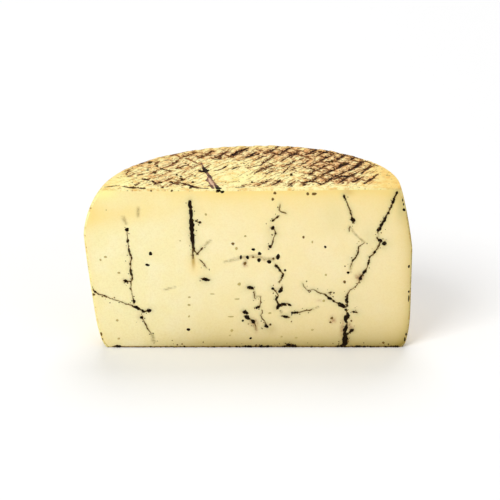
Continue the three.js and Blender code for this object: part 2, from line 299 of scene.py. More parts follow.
# Lemon-yellow and warm yellow areas of the cut face
CUT_LEMON_AREAS = [Tint(-101, 118, 9, 6, 0.9)]
CUT_WARM_AREAS = [Tint(-110, 99, 18, 9, 0.65), Tint(-82, 102, 26, 8, 0.5), Tint(-38, 63, 5, 9, 0.45)]

# A band of truffle that shows through the rind on top: x, distance behind the cut, width
# Its black ends, then the brown strands between them, then the pink stain under the strands
BAND_ENDS = [
    [(-34, 60, 1.6), (-33.3, 56, 1), (-32.6, 51, 1.3), (-31.8, 46.5, 2.2), (-30.6, 43, 3.6), (-30.7, 40, 3),
     (-29.8, 37, 1.6)],
    [(-34.8, 43, 1.8), (-34, 40.6, 3), (-33, 39, 3), (-31.6, 40.4, 2.4)],
    [(-21.8, 3.8, 2.2), (-20.9, 1.8, 3.4), (-20.2, 0.6, 3.8)],
]
BAND_STRANDS = [
    [(-30, 38, 1.6), (-28.6, 34, 2), (-27.7, 30, 3.2), (-27.2, 27.5, 2.8), (-26.4, 25, 1.6),
     (-25.7, 21.2, 1.4), (-24.6, 18, 1.5), (-24, 14.5, 1.5), (-23.3, 11.4, 2.4), (-22.6, 8, 2.6),
     (-22.1, 5, 2.2), (-21.2, 2.2, 2.6)],
    [(-27.8, 27.4, 1.2), (-28.8, 24.5, 1.5), (-29, 20.5, 1.7), (-27.9, 16.3, 1.4), (-26.8, 12.3, 1),
     (-26, 8, 1.8), (-25, 4.4, 2.3), (-24.5, 1.4, 1.4)],
]
BAND_STAIN = [
    (-28.4, 31, 2), (-27.6, 26, 3.2), (-27.2, 20, 3.6), (-25.9, 15, 3.2), (-24.8, 9.5, 2.6), (-23.8, 6, 1.6)]

# The darkest marks on the top rind: x, distance behind the cut, width
TOP_MARKS = [
    [(-100.6, 6, 0.9), (-95.7, 6.9, 1.2), (-90.4, 11, 0.9)],
    [(-87.2, 7.4, 2), (-83, 5.6, 3), (-80, 4.4, 4.2), (-78.6, 4, 2.4)],
    [(-77, 5, 2), (-74.4, 3.4, 3.2), (-72.6, 2.6, 2)],
    [(-79.5, 11.7, 1.6), (-76.7, 15.5, 1.6)],
    [(-74.6, 24.5, 2.4), (-71, 22.9, 2.4)],
    [(-67.8, 19.7, 2), (-64.6, 14.8, 2)],
    [(-54.7, 18, 2.4), (-49.4, 13, 2.8)],
    [(-50.6, 17, 1.6), (-44.5, 14.2, 3.4), (-41, 10, 2.6), (-38.2, 7, 4.6), (-35, 4, 2.8)],
    [(-47.7, 25.1, 2.6), (-45.8, 22.9, 2)],
    [(-34, 4, 2.2), (-31, 3, 1.4), (-28.6, 3, 2.2)],
    [(-86.2, 39.3, 1.4), (-83.3, 43.6, 1.6)],
    [(-78.6, 32.7, 1.6), (-74.8, 36.9, 1.8)],
    [(-76.1, 42.6, 1.3), (-72.1, 44.2, 1.5)],
    [(-63.1, 50.3, 1.8), (-59.9, 45.9, 2.4), (-55.2, 43.6, 1.8)],
    [(-51.8, 49.2, 1.8), (-47, 55, 2.8), (-44, 58.5, 1.8)],
    [(-72, 62.8, 2.8), (-70, 64.5, 2.4)],
    [(-60.8, 68, 1.6), (-56.7, 69.7, 1.8)],
    [(-39.3, 65.2, 1), (-36.6, 61.1, 1)],
    [(-24.8, 69.7, 2.2), (-20.9, 71.4, 3), (-20.5, 83, 2)],
    [(-42, 78, 1.3), (-27.4, 81.8, 1.8)],
    [(-14.5, 76.6, 1.4), (-7.2, 90.7, 3.2), (-3.5, 96.1, 2.4)],
    [(-24.4, 43.5, 1.3), (-18.8, 47.5, 1.6), (-14.8, 57.7, 1.2)],
    [(-11.5, 48, 1.4), (-8.6, 52.6, 1.6), (-5.5, 54.3, 2.4)],
    [(-8.3, 5.9, 2.2), (-3.3, 6.8, 2.4)],
    [(1.8, 79.6, 2.5), (7.4, 84.2, 2.5)],
    [(5.4, 54, 2.4), (9.1, 57, 2.4), (12.8, 66, 1.5), (17.4, 76.6, 1.8), (19.3, 81.2, 1.5)],
    [(6.3, 40.9, 1.6), (13.5, 46.7, 1.8), (18.5, 49.6, 1.3)],
    [(12, 85.8, 2.2), (18.1, 90.4, 2.4)],
    [(31.1, 73.5, 1.5), (35, 82.7, 2.2), (36.5, 85.8, 1.5)],
    [(37.4, 69, 2.4), (39.8, 70.5, 2.2)],
    [(44.2, 81.2, 2.1), (49.9, 85.8, 2.2)],
    [(39.7, 51, 1.5), (48.4, 43.8, 1.6)],
    [(57.3, 63, 2.5), (61.9, 64.5, 2.2)],
    [(63.8, 46.7, 1.6), (67.4, 57.6, 2.4), (70.5, 55.5, 2.2)],
    [(70.6, 39.4, 1.9), (76.5, 48.2, 3), (82.7, 63, 2.1), (86, 65, 1.5)],
    [(80.1, 33.6, 1.8), (85.2, 43.8, 2.2), (90.1, 51.1, 1.8)],
    [(81, 11, 1.8), (86.5, 20.8, 2.2), (92, 31.4, 1.6)],
    [(60.9, 20.8, 2.5), (63.8, 26.5, 3.3), (74.6, 30.8, 3.7)],
    [(38.7, 15.2, 1.8), (44.1, 19.4, 2.5), (50.9, 12.4, 3)],
    [(51.5, 29.3, 1.6), (56.9, 30.8, 1.8)],
    [(56.2, 36.5, 1.8), (62.9, 46.7, 2.1)],
    [(24.1, 36.5, 1), (30.7, 54, 1.2)],
    [(1.8, 15.2, 1.3), (8, 17, 1.8), (15, 18, 1.3)],
    [(51.9, 88.4, 1.5), (64.6, 83, 1.6), (72.3, 74.4, 1.6), (84, 65, 1.3), (93.5, 50, 1.2)],
]

# Small dark dots on the top rind: x, distance behind the cut, width
TOP_DOTS = [
    (-66.4, 54.3, 2.2), (-61.6, 14.8, 1.8), (-39, 15.8, 2), (-32.4, 11, 1.5), (-16, 17, 1.3),
    (-6, 3.6, 1.2), (4.4, 9, 1.4), (18, 14, 1.4), (29, 5, 1.5), (31, 32, 1.6), (13, 23, 1.2),
    (-70, 26, 1.4), (-67, 18, 1.3), (-54, 28, 1.4), (-46, 34, 1.3), (-61, 30, 1.5), (13, 53, 1.6),
    (0, 56, 1.5), (22, 48, 1.3), (-90, 5, 1.2), (-41, 12, 1.4), (8, 4, 1.2), (38, 69, 2.6),
    (-66.6, 36.6, 2), (-84, 14, 1.6), (-57, 7, 1.8), (-63, 8, 1.5), (-46, 6, 1.6), (-69, 12, 1.6),
]

# Crumbs of truffle that stand in the top rind: x, distance behind the cut, width
TOP_CRUMBS = [
    (-66, 53.6, 1.8), (-72.1, 43.8, 1.6), (-62.3, 46.3, 1.7), (-51, 33.3, 1.4), (-47.8, 28.3, 1.9),
    (-47.1, 23.3, 1.7), (-39, 16.3, 2), (-37.9, 29.7, 1.3), (-61.3, 15.2, 1.7), (-59.8, 3.9, 1.7),
    (-52.1, 63.4, 1.4), (-72.3, 2.6, 1.7), (-80.5, 3.9, 2.3), (-40.5, 3.2, 2.2), (-71.6, 62.7, 2),
    (-66.6, 37.3, 1.9), (2.6, 16, 1.7), (30.6, 32.6, 1.8), (30.4, 5.8, 1.7), (69.4, 57, 2.2),
    (60.8, 62.6, 2),
]

# Browner areas of the top rind with more marks: the second number is the distance behind the cut
TOAST_AREAS = [
    Tint(62, 52, 34, 32, 0.84), Tint(34, 86, 42, 20, 0.8), Tint(66, 20, 26, 10, 0.76),
    Tint(-48, 56, 24, 16, 0.52), Tint(-60, 16, 22, 11, 0.5), Tint(-62, 34, 24, 14, 0.46),
    Tint(-14, 84, 28, 16, 0.55), Tint(12, 18, 12, 8, 0.5), Tint(-84, 38, 8, 8, 0.35),
    Tint(14, 50, 16, 16, 0.5), Tint(-4, 11, 30, 7, 0.42), Tint(34, 14, 12, 6, 0.3),
    Tint(-46, 82, 36, 13, 0.56), Tint(-80, 62, 14, 12, 0.5), Tint(-56, 58, 20, 12, 0.3),
]

# Lemon-yellow areas of the top rind, in the same way
LEMON_AREAS = [Tint(-89, 20, 12, 12, 0.5), Tint(-6, 26, 14, 14, 0.4)]


def srgb(red, green, blue):
    """A colour given as screen values from 0 to 255, as the linear values that shaders take."""
    def linear(value):
        share = value / 255
        return share / 12.92 if share <= 0.04045 else ((share + 0.055) / 1.055) ** 2.4
    return (linear(red), linear(green), linear(blue), 1.0)


def smoothstep(low, high, value):
    share = np.clip((value - low) / (high - low), 0, 1)
    return share * share * (3 - 2 * share)


HASH_FACTORS = np.array([73856093, 19349663, 83492791], np.int64)
HASH_SEED_STEP = 7919
HASH_ROUNDS = ((13, 1274126177), (16, 668265263))
HASH_MASK = 0x7FFFFFFF
HASH_LEVELS = 65536


def hashed(cells, seed):
    """One repeatable number from -1 to 1 for each cell of a lattice."""
    mixed = (cells * HASH_FACTORS[:cells.shape[-1]]).sum(-1) + seed * HASH_SEED_STEP
    for shift, factor in HASH_ROUNDS:
        mixed = (mixed ^ (mixed >> shift)) * factor & HASH_MASK
    low_bits = (mixed >> 15) & (HASH_LEVELS - 1)
    return (mixed ^ low_bits) % HASH_LEVELS / ((HASH_LEVELS - 1) / 2) - 1


def noise(points, size, seed):
    """Smooth noise from -1 to 1 at each point, with bumps of about that size."""
    scaled = np.asarray(points, float) / size
    cell = np.floor(scaled).astype(np.int64)
    part = scaled - cell
    part = part * part * (3 - 2 * part)
    total = np.zeros(scaled.shape[:-1])
    for corner in itertools.product((0, 1), repeat=scaled.shape[-1]):
        weight = np.prod(np.where(corner, part, 1 - part), axis=-1)
        total += weight * hashed(cell + np.array(corner), seed)
    return total


def layered_noise(points, layers):
    """The sum of layers of noise, each given by its strength, size and seed."""
    return sum(strength * noise(points, size, seed) for strength, size, seed in layers)


def profile_inset(side, level):
    """How far a side's profile lies inside the bulge, at a height given as a share of the whole."""
    rise = np.maximum(0, (level - side.bulge) / (1 - side.bulge))
    fall = np.maximum(0, (side.bulge - level) / side.bulge)
    foot = np.maximum(0, 1 - level / side.foot_height)
    shoulder = side.top_inset * (1 - (1 - np.minimum(rise, 1) ** side.roundness) ** (1 / side.roundness))
    return shoulder + side.taper * fall ** TAPER_POWER + side.foot_inset * (1 - np.sqrt(1 - foot ** 2))


def radius_at(azimuth, level):
    """The wheel's radius at an azimuth from +X, blended from the right side's profile to the left's."""
    left_share = (1 - np.cos(azimuth)) / 2
    right_inset, left_inset = profile_inset(RIGHT_SIDE, level), profile_inset(LEFT_SIDE, level)
    inset = (1 - left_share) * right_inset + left_share * left_inset
    return WHEEL_RADIUS + PLAN_SKEW * np.sin(2 * azimuth) - inset


def top_height(x):
    return WHEEL_HEIGHT + RIGHT_RISE * np.maximum(0, x / WHEEL_RADIUS)


def crowded_levels(count, crowding):
    """Heights from 1 down to 0 as shares of the whole, closer together at both edges."""
    share = np.linspace(1, 0, count + 1)
    return (1 - crowding) * share + crowding * (1 - np.cos(np.pi * share)) / 2


class Surface:
    """Gathers blocks of points, with named values at each point, and the faces between them."""

    def __init__(self, value_names):
        self.blocks = []
        self.values = {name: [] for name in value_names}
        self.count = 0
        self.faces = []
        self.materials = []

    def add(self, points, **values):
        """Adds an array of points of any shape and returns their numbers in the same shape."""
        shape = points.shape[:-1]
        total = int(np.prod(shape))
        self.blocks.append(points.reshape(-1, 3))
        for name, gathered in self.values.items():
            gathered.append(np.broadcast_to(values.get(name, 0.0), shape).ravel())
        ids = np.arange(self.count, self.count + total).reshape(shape)
        self.count += total
        return ids

    def grid(self, ids, material):
        """Quads between the rows and columns of a table of point numbers."""
        quads = np.stack([ids[:-1, :-1], ids[:-1, 1:], ids[1:, 1:], ids[1:, :-1]], -1).reshape(-1, 4)
        self.faces.extend(quads.tolist())
        self.materials.extend([material] * len(quads))

    def zip(self, first, second, material):
        """Triangles between two open rows of points that may differ in number."""
        steps_a, steps_b = len(first) - 1, len(second) - 1
        a = b = 0
        while a < steps_a or b < steps_b:
            if b == steps_b or (a < steps_a and (a + 1) * steps_b <= (b + 1) * steps_a):
                self.faces.append([int(first[a]), int(first[a + 1]), int(second[b])])
                a += 1
            else:
                self.faces.append([int(first[a]), int(second[b + 1]), int(second[b])])
                b += 1
            self.materials.append(material)

    def to_object(self, name, materials):
        """One object with faces pointing out, smooth shading and the values as attributes."""
        mesh = bpy.data.meshes.new(name)
        mesh.from_pydata((np.concatenate(self.blocks) * MM).tolist(), [], self.faces)
        for material in materials:
            mesh.materials.append(material)
        mesh.polygons.foreach_set("material_index", self.materials)
        mesh.polygons.foreach_set("use_smooth", [True] * len(mesh.polygons))
        for value_name, gathered in self.values.items():
            attribute = mesh.attributes.new(value_name, "FLOAT", "POINT")
            attribute.data.foreach_set("value", np.concatenate(gathered).astype(np.float32))
        mesh.update()
        turn_faces_out(mesh)
        piece = bpy.data.objects.new(name, mesh)
        bpy.context.scene.collection.objects.link(piece)
        return piece


def turn_faces_out(mesh):
    work = bmesh.new()
    work.from_mesh(mesh)
    bmesh.ops.recalc_face_normals(work, faces=work.faces)
    work.to_mesh(mesh)
    work.free()


def half_disc(columns, rows):
    """An even grid over a half disc of radius 1: azimuth and distance, the straight edge first."""
    u, v = np.meshgrid(np.linspace(-1, 1, columns + 1), np.linspace(0, 1, rows + 1))
    x = u * np.sqrt(1 - v * v / 2)
    y = v * np.sqrt(1 - u * u / 2)
    return np.arctan2(y, x), np.hypot(x, y)


def arc_of(ids):
    """The round edge of a half disc's grid, from its right end to its left end."""
    return np.concatenate([ids[:, -1], ids[-1, -2::-1], ids[-2::-1, 0]])


def lay_behind_cut(x, behind, z):
    """Points given by their distance behind the cut. The edge at the cut is set back a little."""
    return np.stack([x, CUT_Y + np.maximum(behind, RIM_SETBACK), z], -1)


def soft_patches(x, z, tints):
    """The joint strength of soft patches at points of a face, from 0 to 1."""
    clear = np.ones(np.shape(x))
    for tint in tints:
        distance = ((x - tint.x) / tint.reach_x) ** 2 + ((z - tint.z) / tint.reach_z) ** 2
        clear = clear * (1 - tint.strength * np.exp(-distance))
    return 1 - clear


def groove(phase):
    """1 in the middle of a groove and 0 between grooves, which lie at whole numbers of the phase."""
    distance = np.abs(phase - np.round(phase))
    return 1 - smoothstep(GROOVE_FLOOR, GROOVE_EDGE, distance)


RIND_VALUES = ("strand_a", "strand_b", "mark", "weave", "toast", "gold", "grime")
PASTE_VALUES = ("blush", "warmth", "oil", "rust", "veil", "streak")
SHARED_VALUES = ("shade", "lemon")


def strand_drift(spot, strength, seed):
    """How far a family of strands has drifted from its even spacing, in strands."""
    fine = (FINE_DRIFT, FINE_DRIFT_SIZE, seed + FINE_SEED_STEP)
    return layered_noise(spot, ((strength, DRIFT_SIZE, seed), fine))


def flat_strands(x, y):
    """The two families of strands on a flat face, counted in strands across."""
    spot = np.stack([x, y], -1)
    return [
        (y * math.cos(angle) - x * math.sin(angle)) / STRAND_PITCH + strand_drift(spot, FLAT_DRIFT, seed)
        for seed, angle in enumerate(STRAND_ANGLES, FLAT_SEED)
    ]


def side_strands(along, z):
    """The two families of strands round the side, which slope both ways."""
    spot = np.stack([along, z], -1)
    step = SIDE_PITCH * math.sqrt(2)
    return [
        (along + slope * z) / step + strand_drift(spot, SIDE_DRIFT, seed)
        for seed, slope in enumerate((1, -1), SIDE_SEED)
    ]


def resampled(route, step=ROUTE_STEP):
    """Evenly spaced points along a route of x, height and width."""
    route = np.array(route, float)
    lengths = np.concatenate([[0], np.cumsum(np.hypot(*np.diff(route[:, :2], axis=0).T))])
    stations = np.linspace(0, lengths[-1], max(3, int(lengths[-1] / step) + 1))
    return np.stack([np.interp(stations, lengths, column) for column in route.T], -1)


def joined(routes, step=ROUTE_STEP):
    """The evenly spaced points of several routes, one after another."""
    return np.concatenate([resampled(route, step) for route in routes])


def strongest(spot, path, reach_of, strength_of):
    """The highest strength that any point of a path lends to each point of a face in its reach."""
    flat = spot.reshape(-1, 2)
    best = np.zeros(len(flat))
    for x, z, width in path:
        reach = reach_of(width)
        close = np.flatnonzero((np.abs(flat[:, 0] - x) < reach) & (np.abs(flat[:, 1] - z) < reach))
        distance = np.hypot(flat[close, 0] - x, flat[close, 1] - z)
        best[close] = np.maximum(best[close], strength_of(distance, width))
    return best.reshape(spot.shape[:-1])


def mark_reach(width):
    return MARK_REACH + width / 2


def mark_strength(spot, path):
    """1 at the edge of the strokes of a path, more inside them, and 0 from MARK_REACH outside."""
    def strength(distance, width):
        return (mark_reach(width) - distance) / MARK_REACH
    return strongest(spot, path, mark_reach, strength)


def closeness(spot, path):
    """1 on a path and falling to 0 past its width, for points of a face."""
    def fall(width):
        return max(LEAST_FALL, width * FALL_SHARE)

    def strength(distance, width):
        return np.exp(-(distance / fall(width)) ** 2)
    return strongest(spot, path, lambda width: FALLS_TO_NOTHING * fall(width), strength)


def rind_relief(strands, mark, weave, toast, spot):
    """How deep the rind lies below its smooth form."""
    grooves = np.maximum(groove(strands[0]), CROSS_GROOVE_SHARE * groove(strands[1])) * (0.4 + 0.6 * toast)
    lumps = layered_noise(spot, RIND_LUMPS)
    dents = MARK_DEPTH * smoothstep(0.8, 1.3, mark)
    return weave * GROOVE_DEPTH * grooves + dents + (0.3 + 0.7 * weave) * lumps


def add_top(surface):
    azimuth, share = half_disc(TOP_COLUMNS, TOP_ROWS)
    radius = share * radius_at(azimuth, 1.0)
    x, behind = radius * np.cos(azimuth), radius * np.sin(azimuth)
    spot = np.stack([x, behind], -1)
    strands = flat_strands(x, behind)
    weave = smoothstep(*TOP_FRONT_FADE, behind) * top_weave(x)
    toast = soft_patches(x, behind, TOAST_AREAS)
    mark = mark_strength(spot, np.concatenate([joined(TOP_MARKS), np.array(TOP_DOTS)]))
    z = top_height(x) - rind_relief(strands, mark, weave, toast, spot) * smoothstep(0, FRONT_FADE, behind)
    return surface.add(
        lay_behind_cut(x, behind, z), strand_a=strands[0], strand_b=strands[1],
        mark=mark, weave=weave, toast=toast, gold=top_gold(x, share),
        lemon=soft_patches(x, behind, LEMON_AREAS))


def top_weave(x):
    """How clear the imprint is across the top: it fades out towards both ends of the cut."""
    inside = (1 - smoothstep(*TOP_RIGHT_FADE, x)) * smoothstep(*TOP_LEFT_FADE, x)
    return inside * (0.82 + 0.18 * smoothstep(-40, 0, x))


def top_gold(x, share):
    """The golden tint of the top: the right end and the whole outer edge."""
    return np.maximum(smoothstep(*TOP_GOLD_END, x), 0.5 * smoothstep(0.86, 1.0, share))


def side_weave(x, behind, z, on_shoulder):
    """How clear the imprint is round the side: it fades out at the cut, the base and the shoulder."""
    clear = smoothstep(*SIDE_CUT_FADE, behind) * smoothstep(*SIDE_FOOT_FADE, z)
    clear = clear * smoothstep(*SHOULDER_FADE, np.abs(z - SHOULDER_LEVEL))
    return clear * np.where(on_shoulder, top_weave(x), 1)


def side_toast(x, behind, spot, on_shoulder):
    """How brown the side is: in patches, and on the shoulder at least as brown as the top beside it."""
    patches = np.clip(0.4 + 0.4 * noise(spot, 34, 21), 0, 1) * smoothstep(0, 20, behind)
    over_top = np.where(on_shoulder, soft_patches(x, behind, TOAST_AREAS), 0)
    return np.maximum(patches * np.where(on_shoulder, 0.6, 1), over_top)


def add_side(surface):
    levels = crowded_levels(SIDE_ROWS, SIDE_CROWDING)[1:-1]
    azimuth, level = np.meshgrid(np.linspace(0, np.pi, SIDE_COLUMNS + 1), levels)
    z = level * top_height(radius_at(azimuth, 1.0) * np.cos(azimuth))
    smooth_radius = radius_at(azimuth, level)
    x, behind = smooth_radius * np.cos(azimuth), smooth_radius * np.sin(azimuth)
    along = azimuth * WHEEL_RADIUS
    spot = np.stack([along, z], -1)
    on_shoulder = z > SHOULDER_LEVEL
    families = zip(flat_strands(x, behind), side_strands(along, z))
    strands = [np.where(on_shoulder, over, beside) for over, beside in families]
    weave = side_weave(x, behind, z, on_shoulder)
    toast = side_toast(x, behind, spot, on_shoulder)
    radius = smooth_radius - rind_relief(strands, 0, weave, toast, spot) * smoothstep(0, FRONT_FADE, behind)
    by_cut = 1 - smoothstep(0, 8, behind)
    # The right rim by the cut gets painted shade, where the rind turns away from the light.
    right_rim = by_cut * (azimuth < 1) * smoothstep(118, 100, z)
    # The left rim by the cut is painted paler lemon instead of gold, as a painted highlight.
    left_rim = by_cut * (azimuth > 2)
    # The grime along the base is dark rind and a painted contact shadow; on the right rim it is dark specks
    # and painted shade.
    return surface.add(
        lay_behind_cut(radius * np.cos(azimuth), radius * np.sin(azimuth), z),
        strand_a=strands[0], strand_b=strands[1], weave=weave, toast=toast,
        gold=0.6 - 0.4 * left_rim, lemon=0.6 * left_rim, shade=0.45 * right_rim,
        grime=np.maximum(1 - smoothstep(0, 4, z), 0.5 * right_rim))


def add_base(surface):
    azimuth, share = half_disc(BASE_COLUMNS, BASE_ROWS)
    radius = share * radius_at(azimuth, 0.0)
    x, behind = radius * np.cos(azimuth), radius * np.sin(azimuth)
    strands = flat_strands(x, behind)
    weave = smoothstep(2, 10, behind) * (1 - smoothstep(0.9, 1.0, share))
    z = BASE_GROOVE_DEPTH * weave * np.maximum(groove(strands[0]), groove(strands[1]))
    # Grime at the front of the base is dark rind and a painted contact shadow under the cut's lower edge.
    return surface.add(
        lay_behind_cut(x, behind, z), strand_a=strands[0], strand_b=strands[1],
        weave=weave, toast=0.4, gold=0.6, grime=1 - smoothstep(0, 3, behind))


def away_from_left(x):
    """0 at the left end of the cut, which is painted paler as painted light, and 1 from just left of its
    middle on.
    """
    return smoothstep(*PAINTED_LIGHT_LEFT, x)


def fading(distance, strength, reach):
    """A strength at an edge that fades with the distance from it."""
    return strength * np.exp(-distance / reach)


def cut_warmth(x, z, left, right):
    """How yellow the paste is: along its edges and in the warm areas, less so towards the left end, which is
    painted paler as painted light.
    """
    to_right = away_from_left(x)
    warmth = fading(top_height(x) - z, 0.5 + 0.7 * to_right, 12) + fading(x - left, 0.35, 6)
    warmth += fading(right - x, 0.6, 8) + fading(z, 0.4 * to_right, 12)
    warmth += soft_patches(x, z, CUT_WARM_AREAS)
    return np.clip(warmth, 0, 1)


def cut_olive_and_painted_shade(x, z, right):
    """How olive and how shaded the paste is: olive paste with painted shade towards the base, weaker at the
    painted-light left end, and painted shade across the right part and at the right edge.
    """
    low = fading(z, 0.6, 7.5) + fading(z, 0.3, 20)
    edge = fading(right - x, 0.3, 4.5)
    shade = low * (0.17 + 0.81 * away_from_left(x)) + 0.08 * smoothstep(0, 100, x) + edge
    return np.clip(shade, 0, 1)


def add_cut(surface, truffle_path):
    levels = crowded_levels(CUT_ROWS, CUT_CROWDING)
    share_x, level = np.meshgrid(np.linspace(0, 1, CUT_COLUMNS + 1), levels)
    left = RIM_WIDTH - radius_at(np.pi, level)
    right = radius_at(0.0, level) - RIM_WIDTH
    x = left + (right - left) * share_x
    z = RIM_WIDTH + level * (top_height(x) - 2 * RIM_WIDTH)
    spot = np.stack([x, z], -1)
    to_edges = [x - left, right - x, z - RIM_WIDTH, top_height(x) - z - RIM_WIDTH]
    inner = smoothstep(0, 2.5, np.minimum.reduce(to_edges))
    dip = layered_noise(spot, CUT_DIPS) + SEAM_DIP * closeness(spot, truffle_path)
    y = CUT_Y + np.maximum(dip * inner, -HIGHEST_BUMP)
    # The veil is weaker at the left end, which is painted paler as painted light.
    haze_path = truffle_path * (1, 1, 2.2) + (0, 0, 2.5)
    haze = (0.1 + 0.38 * away_from_left(x)) * closeness(spot, haze_path)
    halo = 0.3 * closeness(spot, truffle_path * (1, 1, 1.5))
    return surface.add(
        np.stack([x, y, z], -1), blush=smoothstep(*PEACH_BLUSH, x),
        warmth=cut_warmth(x, z, left, right), shade=cut_olive_and_painted_shade(x, z, right),
        lemon=soft_patches(x, z, CUT_LEMON_AREAS),
        oil=soft_patches(x, z, OIL_TINTS), rust=soft_patches(x, z, RUST_TINTS),
        veil=np.maximum(soft_patches(x, z, VEIL_TINTS), haze),
        streak=np.maximum(closeness(spot, joined(STREAKS)), halo))


RIND, PASTE = 0, 1


def build_cheese(truffle_path, rind_material, paste_material):
    """The half wheel as one closed surface: rind on the top, side and base, paste on the cut."""
    surface = Surface(RIND_VALUES + PASTE_VALUES + SHARED_VALUES)
    top = add_top(surface)
    side = add_side(surface)
    base = add_base(surface)
    cut = add_cut(surface, truffle_path)
    for ids, material in ((top, RIND), (side, RIND), (base, RIND), (cut, PASTE)):
        surface.grid(ids, material)
    surface.zip(arc_of(top), side[0], RIND)
    surface.zip(side[-1], arc_of(base), RIND)
    right_edge = np.concatenate([[top[0, -1]], side[:, 0], [base[0, -1]]])
    left_edge = np.concatenate([[top[0, 0]], side[:, -1], [base[0, 0]]])
    surface.zip(top[0], cut[0], RIND)
    surface.zip(right_edge, cut[:, -1], RIND)
    surface.zip(base[0], cut[-1], RIND)
    surface.zip(left_edge, cut[:, 0], RIND)
    return surface.to_object("cheese", [rind_material, paste_material])


# The truffle pieces: rings of points, how far they stand out and how near they come to an edge
RING_SIDES, CRUMB_RINGS = 12, 6
RING_TURNS = np.arange(RING_SIDES) * 2 * np.pi / RING_SIDES
SEAM_STEP = 0.4
PROUD, CRUMB_PEAK = 0.12, 0.02
OUTLINE_MARGIN, EDGE_MARGIN = 0.5, 0.05
TOP_CRUMB_STRETCH, BAND_STRETCH = 4.5, 2.2
TOP_CRUMB_LENGTH = 1.2

# How uneven seams and crumbs are, and how deep they are sunk
THIN_SHARE = 0.62
SEAM_KNOBS, CREST_ROUGHNESS, CRUMB_ROUGHNESS = 0.2, 0.07, 0.28
SEAM_DEPTH_SHARE, LEAST_DEPTH, MOST_DEPTH = 0.6, 0.2, 1.2
CRUMB_DEPTH_SHARE = 0.45
SEAM_SINK, END_SINK = 0.05, 0.1

# Tone, from 0 for black over 1 for brown to 2 for faint, and the widths between which a seam turns black
TRUFFLE_VALUES = ("tone",)
BROWN_TONE, FAINT_TONE, TOP_CRUMB_TONE = 0.75, 2.0, 0.4
BROWN_WIDTH, FACE_BLACK_WIDTH = 0.7, 2.2
BAND_BLACK_WIDTH, BAND_END_BLACK_WIDTH = 4.0, 2.8
BAND_STAIN_PALENESS = 1.9

# First seeds of the rows of seams and crumbs
SEAM_SEED, BAND_END_SEED, BAND_STRAND_SEED, BAND_STAIN_SEED = 100, 900, 940, 980
SEAM_SEED_STEP = 10
BLACK_SEED, BROWN_SEED, STRAY_SEED, FAINT_SEED, TOP_CRUMB_SEED = 700, 2200, 800, 2000, 2100

# Crumbs strewn beside the seams by chance
CHANCE_SEED = 7
STRAY_STEP, STRAY_REACH = 2.1, 1.6
STRAY_SIZES, STRAY_ASPECTS, STRAY_TONES = (0.35, 1.1), (0.6, 1.5), (0.3, 1)
STRAY_ABOVE_BASE, STRAY_BELOW_TOP, STRAY_SIDE = 2, 3, 105


def on_cut(across, up, out):
    """A place on the cut face, kept inside its outline, and how far it stands out of it."""
    level = np.clip(up / WHEEL_HEIGHT, 0, 1)
    left = OUTLINE_MARGIN - radius_at(np.pi, level)
    right = radius_at(0.0, level) - OUTLINE_MARGIN
    inside = np.clip(across, left, right)
    height = np.clip(up, EDGE_MARGIN, top_height(inside) - EDGE_MARGIN)
    return np.stack([inside, CUT_Y - out, height], -1)


def on_top(across, behind, out, stretch=1):
    """A place on the top face, and how far it stands out of it, stretched that many times."""
    return lay_behind_cut(across, behind, top_height(across) + stretch * out)


above_top = partial(on_top, stretch=TOP_CRUMB_STRETCH)
above_band = partial(on_top, stretch=BAND_STRETCH)


def close_rings(surface, ids, first_pole, last_pole):
    """Faces between rings of points, with a fan to a pole at each end."""
    surface.grid(np.concatenate([ids, ids[:, :1]], 1), 0)
    for ring, pole in ((ids[0], first_pole), (ids[-1], last_pole)):
        for here, there in zip(ring, np.roll(ring, -1)):
            surface.faces.append([int(here), int(there), int(pole)])
            surface.materials.append(0)


def sideways_of(spot):
    """The direction across a route at each of its points."""
    along = np.gradient(spot, axis=0)
    along /= np.maximum(np.hypot(along[:, 0], along[:, 1]), 1e-6)[:, None]
    return np.stack([-along[:, 1], along[:, 0]], -1)


def seam_wander(spot, width, seed):
    """How far a seam strays to either side of its route."""
    return (0.14 + 0.12 * width) * noise(spot, 1.9, seed) + 0.12 * noise(spot, 0.8, seed + 1)


def ragged_width(spot, width, seed):
    """A seam's width with swells and pinches, which are smaller where it is wide."""
    roughness = 1 - 0.45 * smoothstep(1.6, 2.6, width)
    swells = layered_noise(spot, ((0.42, 1.7, seed + 2), (0.25, 0.7, seed + 3)))
    return width * (1 + roughness * swells)


def seam_section(width, wander, seed):
    """For each ring of a seam, how far its points lie across the route and out of the face."""
    count = len(width)
    ring, turn = np.meshgrid(np.arange(count), RING_TURNS, indexing="ij")
    on_skin = np.stack([ring * SEAM_STEP, np.cos(turn) * 2, np.sin(turn) * 2], -1)
    knobs = 1 + SEAM_KNOBS * noise(on_skin, 1.1, seed + 4)
    steps_to_end = np.minimum(ring, count - 1 - ring) + 0.5
    half = width[:, None] / 2 * np.sqrt(np.minimum(steps_to_end / 2, 1)) * knobs
    across = wander[:, None] + half * np.cos(turn)
    crest = PROUD + CREST_ROUGHNESS * noise(np.stack([ring * SEAM_STEP, across * 3], -1), 0.6, seed + 5)
    depth = np.clip(SEAM_DEPTH_SHARE * half, LEAST_DEPTH, MOST_DEPTH)
    return across, np.minimum(depth * np.sin(turn) - SEAM_SINK, crest)


